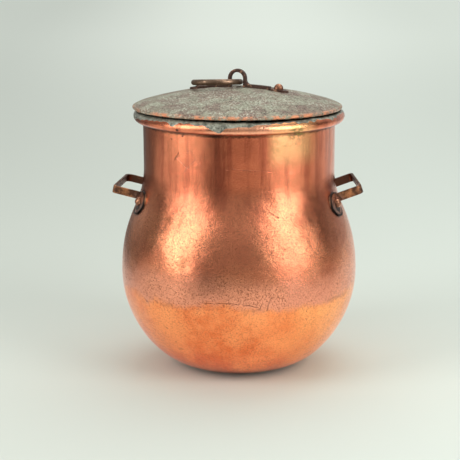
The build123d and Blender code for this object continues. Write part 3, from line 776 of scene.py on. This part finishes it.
def vessel_grime_and_shade(s, color):
    """The colour with its dirt, painted shade and dirt in the crease under the roll, painted shade
    round the feet, a darker bottom, and the masks of dark grain, of all grain and of pits.
    """
    z = s.axis("Z")
    grain = s.noise(640, 3, 0.8)
    patchy = s.times(s.span(s.noise(30, 4), 0.3, 0.7, 0.5, 1.0), s.span(z, 0.24, 0.17, 0.3, 1.0))
    patchy = s.times(patchy, s.span(z, 0.080, 0.105, 0.6, 1.0))
    dark_grain = s.times(s.span(grain, 0.50, 0.59), s.times(patchy, 0.9))
    color = s.mix(dark_grain, color, GRAIN_BROWN)
    pit = s.times(s.span(s.cells(160), 0.15, 0.07), s.span(s.noise(36, 2), 0.52, 0.66))
    color = s.mix(s.times(pit, 0.8), color, PIT_BROWN)
    # Painted shade, with some dirt: a ragged dark line in the crease just under the roll.
    ragged = s.plus(z, s.span(s.noise(240, 4, 0.7), 0.3, 0.7, -0.0010, 0.0010))
    broken = s.span(s.noise(28, 3), 0.3, 0.6, 0.5, 1.0)
    crease_shade_and_dirt = s.times(s.span(ragged, 0.2705, 0.2728), broken)
    crease_shade_and_dirt = s.times(crease_shade_and_dirt, s.span(z, 0.2770, 0.2755))
    color = s.mix(crease_shade_and_dirt, color, CREASE_SHADE_AND_DIRT)
    # Painted shade on the wall round each foot, and a painted black shadow line at its edge.
    shade_round_feet = s.times(s.near_feet(SHADE_ROUND_FEET_BAND), s.span(s.noise(150, 4), 0.3, 0.6, 0.2, 0.7))
    color = s.mix(shade_round_feet, color, PAINTED_SHADE_ROUND_FEET)
    color = s.mix(s.near_feet(GAP_SHADOW_BAND), color, FOOT_GAP_SHADOW)
    # Darker towards the bottom, over the last 12 mm above the floor.
    bottom_darkening = s.times(s.span(z, 0.012, 0.0015), 0.6)
    return s.mix(bottom_darkening, color, BOTTOM_DARKENING), dark_grain, grain, pit


def vessel_copper(name):
    """Old copper of both sheets, alike in both so that it runs on over the seam."""
    s = Shader(name)
    color, dark_grain, grain, pit = vessel_grime_and_shade(s, vessel_colour(s))
    crack = s.times(s.mask("seam"), s.span(s.noise(17, 4), 0.56, 0.68, 0.0, 0.6))
    color = s.mix(crack, color, SEAM_BROWN)
    crud = s.near_spot(s.front_place(), *CRUD_SPOT)
    crud = s.times(crud, s.span(s.noise(330, 3), 0.47, 0.55))
    crud = s.times(crud, s.span(s.axis("Z"), 0.2645, 0.2700))
    color = s.mix(s.times(crud, 0.85), color, CRUD)
    dark, pale = vessel_marks(s)
    color = s.mix(s.times(pale, 0.13), color, PALE_SCRATCH)
    color = s.mix(dark, color, DARK_SCRATCH_AND_DENT_SHADE)
    tin_color, tin = old_tin(s)
    color = s.mix(tin, color, tin_color)
    rough = s.span(s.noise(48, 4), 0.3, 0.7, 0.17, 0.24)
    rough = s.times(rough, s.span(s.axis("Z"), 0.17, 0.23, 1.0, 0.68))
    rough = s.plus(rough, s.times(dark_grain, 0.12))
    rough = s.plus(rough, s.times(tin, 0.20))
    metal = s.minus(1.0, s.times(tin, 0.45))
    normal = s.bump(s.noise(22, 2), 0.0018)
    normal = s.bump(s.noise(75, 3), 0.0003, normal)
    relief = s.minus(grain, s.plus(pit, s.math("MAXIMUM", dark, pale)))
    normal = s.bump(relief, 0.00025, normal)
    return s.finish(color, rough, metal, normal)


def lid_copper():
    """Tarnished lid: brown and grey-green, flecked with pale verdigris, bright on its bead."""
    s = Shader("lid_copper")
    color = s.mix(s.span(s.noise(40, 7, 0.75), 0.42, 0.58), *LID_SHADES)
    pink = s.span(s.noise(52, 6, 0.75), 0.52, 0.64)
    pink = s.times(pink, s.span(s.axis("X"), -0.09, 0.08, 0.3, 0.85))
    color = s.mix(pink, color, LID_PINK)
    patch = s.span(s.noise(26, 6, 0.7), 0.38, 0.60)
    grain = s.noise(440, 4, 0.8)
    fleck = s.times(s.span(grain, 0.50, 0.59), s.span(patch, 0, 1, 0.25, 0.95))
    color = s.mix(fleck, color, VERDIGRIS)
    spot = s.times(s.span(s.noise(430, 4, 0.8), 0.54, 0.61), s.span(patch, 0, 1, 0.95, 0.6))
    color = s.mix(spot, color, LID_SPOT)
    broken = s.plus(s.noise(90, 5, 0.75), s.span(s.axis("Y"), -0.10, 0.0, 0.0, -0.08))
    edge = s.times(s.mask("edge"), s.span(broken, 0.44, 0.56, 0.05, 1.0))
    color = s.mix(edge, color, BEAD_COPPER)
    color = s.mix(s.mask("under"), color, LID_UNDERSIDE)
    rough = s.minus(0.55, s.times(edge, 0.24))
    metal = s.plus(0.2, s.times(edge, 0.75))
    normal = s.bump(s.noise(60, 4), 0.0006)
    normal = s.bump(s.minus(grain, spot), 0.0008, normal)
    return s.finish(color, rough, metal, normal)


def foot_colour(s, color):
    """The handles' colour with pinkish feet, painted shade on their edge and a painted shadow about
    their rivets.
    """
    pinkish = s.mix(s.span(s.noise(200, 4, 0.7), 0.42, 0.58), *FOOT_SHADES)
    color = s.mix(s.times(s.near_feet(TINT_BAND), 0.85), color, pinkish)
    off_middle = s.minus(s.axis("Y"), s.span(s.axis("X"), -0.05, 0.05, *HANDLE_MIDDLES))
    beyond_arms = s.span(s.math("ABSOLUTE", off_middle), *BEYOND_ARMS)
    # Painted shade on each foot's edge, only beyond the arms.
    edge = s.minus(s.near_feet(RIM_BAND), s.near_feet(FACE_BAND))
    color = s.mix(s.times(edge, beyond_arms), color, FOOT_EDGE_SHADE)
    # Painted shadow about and below each rivet's head.
    return s.mix(s.times(s.near_feet(RIVET_SHADOW_BAND, RIVET_SHADOW_DROP), 0.9), color, SHADOW_BELOW_RIVETS)


def worn_bronze(name, shades, bright_share, scale, front=0.0, feet=False):
    """Forged copper alloy, dark in the hollows and bright where hands wear it; with front, its
    front faces painted lighter and its back faces darker.
    """
    s = Shader(name)
    # With front, the front faces are painted lighter and the back faces darker: painted light and
    # shade, on top of the wear.
    brightening = s.plus(s.noise(scale, 5, 0.65), s.span(s.axis("Y"), 0.015, -0.015, -front, front))
    wear_and_sheen = s.span(brightening, 0.54 - bright_share, 0.76 - bright_share)
    color = s.mix(wear_and_sheen, *shades)
    if feet:
        color = foot_colour(s, color)
    spots = s.span(s.noise(330, 3, 0.7), 0.6, 0.74)
    color = s.mix(s.times(spots, 0.6), color, BRONZE_SPOT)
    rough = s.span(wear_and_sheen, 0, 1, 0.5, 0.3)
    normal = s.bump(s.noise(150, 4), 0.00035)
    return s.finish(color, rough, 0.92, normal)


def plain_iron():
    """Dull iron of the rim wire."""
    s = Shader("iron_wire")
    color = s.mix(s.span(s.noise(120, 4), 0.4, 0.6), *IRON_SHADES)
    return s.finish(color, 0.6, 0.8, s.bump(s.noise(220, 3), 0.0003))


# ---------------------------------------------------------------- studio

def lit_sectors(s, around, away):
    """Mask of the floor's two lit sectors, left and right of the pot, for the copper to mirror.

    Around is the direction from the pot in radians: 0 is in front and positive to the right.
    """
    spread = s.span(away, 0.60, 1.0, 0.28, 0.0)
    inner_left = s.span(s.plus(around, spread), -0.70, -0.82)
    inner_right = s.span(s.minus(around, spread), 0.48, 0.66)
    left = s.times(s.span(around, -1.98, -1.80), inner_left)
    right = s.times(s.span(s.plus(around, spread), 1.58, 1.32), inner_right)
    return s.math("MAXIMUM", left, right)


def floor_colour(s, path, x, y, around, away, lit, far_lit):
    """Colour of the floor: even for the camera, in light and dark sectors for the copper."""
    sideways = s.span(x, -0.4, 0.4)
    color = s.mix(sideways, *FLOOR_NEAR)
    duller = s.mix(sideways, *FLOOR_LIT)
    color = s.mix(s.times(lit, s.span(away, 0.45, 0.65)), color, duller)
    color = s.mix(far_lit, color, FLOOR_FAR)
    behind = s.times(s.span(y, 0.0, 0.5), s.span(x, -0.6, 0.4, 0.15, 1.0))
    dim = s.minus(s.span(away, 0.42, 0.8), s.math("MAXIMUM", behind, lit))
    dim = s.times(s.math("MAXIMUM", dim, 0.0), path.outputs["Is Glossy Ray"])
    shade = s.times(s.span(around, -0.84, -0.72), s.span(around, -0.26, -0.36))
    shade = s.math("MAXIMUM", shade, s.span(around, -1.80, -1.98))
    color = s.mix(dim, color, s.mix(shade, *FLOOR_GLOOM))
    return s.mix(path.outputs["Is Camera Ray"], color, s.mix(sideways, *FLOOR_SEEN))


def floor_light(s, path, x, y, away, far_lit):
    """The floor's own light: brighter far off for the camera, in two bands for the copper."""
    glow = s.span(y, 0.2, 3.9, *FLOOR_GLOW)
    glow = s.times(glow, s.span(x, -0.8, -0.05, 0.55, 1.0))
    glow = s.times(glow, s.span(x, 0.1, 0.8, 1.0, 0.74))
    beside = s.minus(s.math("ABSOLUTE", x), s.times(y, 0.2))
    beside = s.times(s.span(beside, 0.15, 0.6), s.span(away, 1.0, 4.0, 0.0, 0.40))
    beside = s.times(beside, s.span(y, -0.8, 0.3, 0.3, 1.0))
    far_off = s.math("MAXIMUM", beside, s.span(away, 1.8, 8.0, 0.0, 0.36))
    glow = s.times(s.math("MAXIMUM", glow, far_off), path.outputs["Is Camera Ray"])
    shine = s.times(far_lit, s.span(x, -0.3, 0.3, *FLOOR_SHINE))
    return s.plus(glow, s.times(shine, path.outputs["Is Glossy Ray"]))


def studio_floor():
    """One large pale surface under the pot, with its own look in the copper's reflections."""
    bpy.ops.mesh.primitive_circle_add(
        vertices=96, radius=FLOOR_RADIUS, fill_type="NGON", location=(0, 0, -FLOOR_DROP)
    )
    floor = bpy.context.object
    floor.name = "floor"
    s = Shader("floor")
    path = s.tree.nodes.new("ShaderNodeLightPath")
    x, y = s.axis("X"), s.axis("Y")
    away = s.math("SQRT", s.plus(s.times(x, x), s.times(y, y)))
    around = s.math("ARCTAN2", x, s.times(y, -1.0))
    lit = lit_sectors(s, around, away)
    far_lit = s.times(lit, s.times(s.span(away, 0.85, 1.18), s.span(away, 1.55, 1.30)))
    s.skin.inputs["Emission Color"].default_value = (*FLOOR_GLOW_TINT, 1.0)
    s.link(floor_light(s, path, x, y, away, far_lit), s.skin, "Emission Strength")
    color = floor_colour(s, path, x, y, around, away, lit, far_lit)
    floor.data.materials.append(s.finish(color, 0.9, 0.0))


def softbox(name, azimuth, elevation, lean, size, power):
    """Large soft lamp aimed at the pot, out of the camera's sight.

    Azimuth 0 is in front and positive to the right, and lean turns the lamp in its own plane, all
    in degrees; the size is (distance, width, height) in metres.
    """
    distance, width, height = size
    lamp = bpy.data.lights.new(name, "AREA")
    lamp.shape = "RECTANGLE"
    lamp.size = width
    lamp.size_y = height
    lamp.energy = power
    lamp.color = LAMP_TINT
    obj = bpy.data.objects.new(name, lamp)
    a, e = radians(azimuth), radians(elevation)
    way = Vector((sin(a) * cos(e), -cos(a) * cos(e), sin(e)))
    obj.location = Vector((0, 0, LAMP_AIM)) + way * distance
    turn = way.to_track_quat("Z", "Y").to_matrix() @ Matrix.Rotation(radians(lean), 3, "Z")
    obj.rotation_euler = turn.to_euler()
    obj.visible_camera = False
    bpy.context.collection.objects.link(obj)


def surroundings():
    """Pale room: darkest beside the pot, lighter behind it, behind the camera and overhead."""
    world = bpy.data.worlds.new("room")
    bpy.context.scene.world = world
    world.use_nodes = True
    tree = world.node_tree
    tree.nodes.clear()
    out = tree.nodes.new("ShaderNodeOutputWorld")
    back = tree.nodes.new("ShaderNodeBackground")
    seen = tree.nodes.new("ShaderNodeBackground")
    pick = tree.nodes.new("ShaderNodeMixShader")
    path = tree.nodes.new("ShaderNodeLightPath")
    way = tree.nodes.new("ShaderNodeTexCoord")
    split = tree.nodes.new("ShaderNodeSeparateXYZ")
    tree.links.new(way.outputs["Generated"], split.inputs[0])

    def ramp(axis, start, end, low, high):
        node = tree.nodes.new("ShaderNodeMapRange")
        node.interpolation_type = "SMOOTHSTEP"
        node.inputs["From Min"].default_value = start
        node.inputs["From Max"].default_value = end
        node.inputs["To Min"].default_value = low
        node.inputs["To Max"].default_value = high
        tree.links.new(split.outputs[axis], node.inputs["Value"])
        return node.outputs[0]

    def join(kind, a, b):
        node = tree.nodes.new("ShaderNodeMath")
        node.operation = kind
        tree.links.new(a, node.inputs[0])
        tree.links.new(b, node.inputs[1])
        return node.outputs[0]

    behind = join("MULTIPLY", ramp("Y", 0.1, 0.75, 0.0, 1.0), ramp("X", -0.6, 0.6, *ROOM_BEHIND))
    strength = join("ADD", behind, ramp("Y", -0.3, -0.9, *ROOM_FRONT))
    strength = join("ADD", strength, ramp("Z", 0.35, 0.8, 0.0, ROOM_TOP))
    tree.links.new(strength, back.inputs[1])
    back.inputs[0].default_value = (*ROOM_TINT, 1)
    seen.inputs[0].default_value = (*ROOM_SEEN, 1)
    tree.links.new(path.outputs["Is Camera Ray"], pick.inputs[0])
    tree.links.new(back.outputs[0], pick.inputs[1])
    tree.links.new(seen.outputs[0], pick.inputs[2])
    tree.links.new(pick.outputs[0], out.inputs[0])


def make_camera():
    """The camera, matched to the photograph."""
    data = bpy.data.cameras.new("camera")
    data.lens = CAMERA_LENS
    data.sensor_width = SENSOR
    data.clip_end = 60
    camera = bpy.data.objects.new("camera", data)
    camera.location = CAMERA_PLACE
    camera.rotation_euler = (pi / 2 - CAMERA_PITCH, 0, 0)
    bpy.context.collection.objects.link(camera)
    bpy.context.scene.camera = camera


# ---------------------------------------------------------------- the object

def wear(node, material):
    """Gives a CAD node its material."""
    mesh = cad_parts[node].data
    mesh.materials.clear()
    mesh.materials.append(material)


def stand_for(piece, node, body, material):
    """Puts a detailed piece in a node's place."""
    piece.data.materials.append(material)
    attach(piece, body)
    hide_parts(node)


body = make_sheet("body_sheet", body_rows(), False)
stand_for(body, "upper_body", "pot", vessel_copper("copper_upper"))
bowl = make_sheet("bowl_sheet", bowl_rows(), True)
stand_for(bowl, "bottom_bowl", "pot", vessel_copper("copper_bottom"))
lid = make_lid()
stand_for(lid, "lid_plate", "lid", lid_copper())

# front=0.06 paints the handles lighter on their front faces and darker on their back faces.
HANDLE_METAL = worn_bronze("handle_bronze", HANDLE_SHADES, 0.065, 90, front=0.06, feet=True)
STRAP_METAL_AND_RIVET_SHADE = worn_bronze("strap_bronze", STRAP_SHADES, 0.03, 210)
RING_METAL = worn_bronze("ring_bronze", RING_SHADES, 0.06, 120)
RIVET_METAL = worn_bronze("rivet_copper", RIVET_SHADES, 0.10, 180)
for side in ("right", "left"):
    wear(f"{side}_handle", HANDLE_METAL)
    for end in ("front", "back"):
        wear(f"{side}_{end}_rivet", RIVET_METAL)
wear("lid_strap", STRAP_METAL_AND_RIVET_SHADE)
# The left rivet, in the ring's shade, wears the strap's darker metal: painted shade.
wear("lid_left_rivet", STRAP_METAL_AND_RIVET_SHADE)
wear("lid_right_rivet", RIVET_METAL)
wear("pull_ring", RING_METAL)
wear("rim_wire", plain_iron())

make_camera()
studio_floor()
surroundings()
softbox("left_softbox", -60.5, 23, -12, (1.6, 0.79, 1.30), 14.2)
softbox("right_softbox", 53, 23, 14, (1.6, 0.84, 1.30), 14)
softbox("top_softbox", 160, 68, 0, (1.9, 1.6, 1.6), 12)

bpy.context.scene.view_settings.view_transform = "Standard"
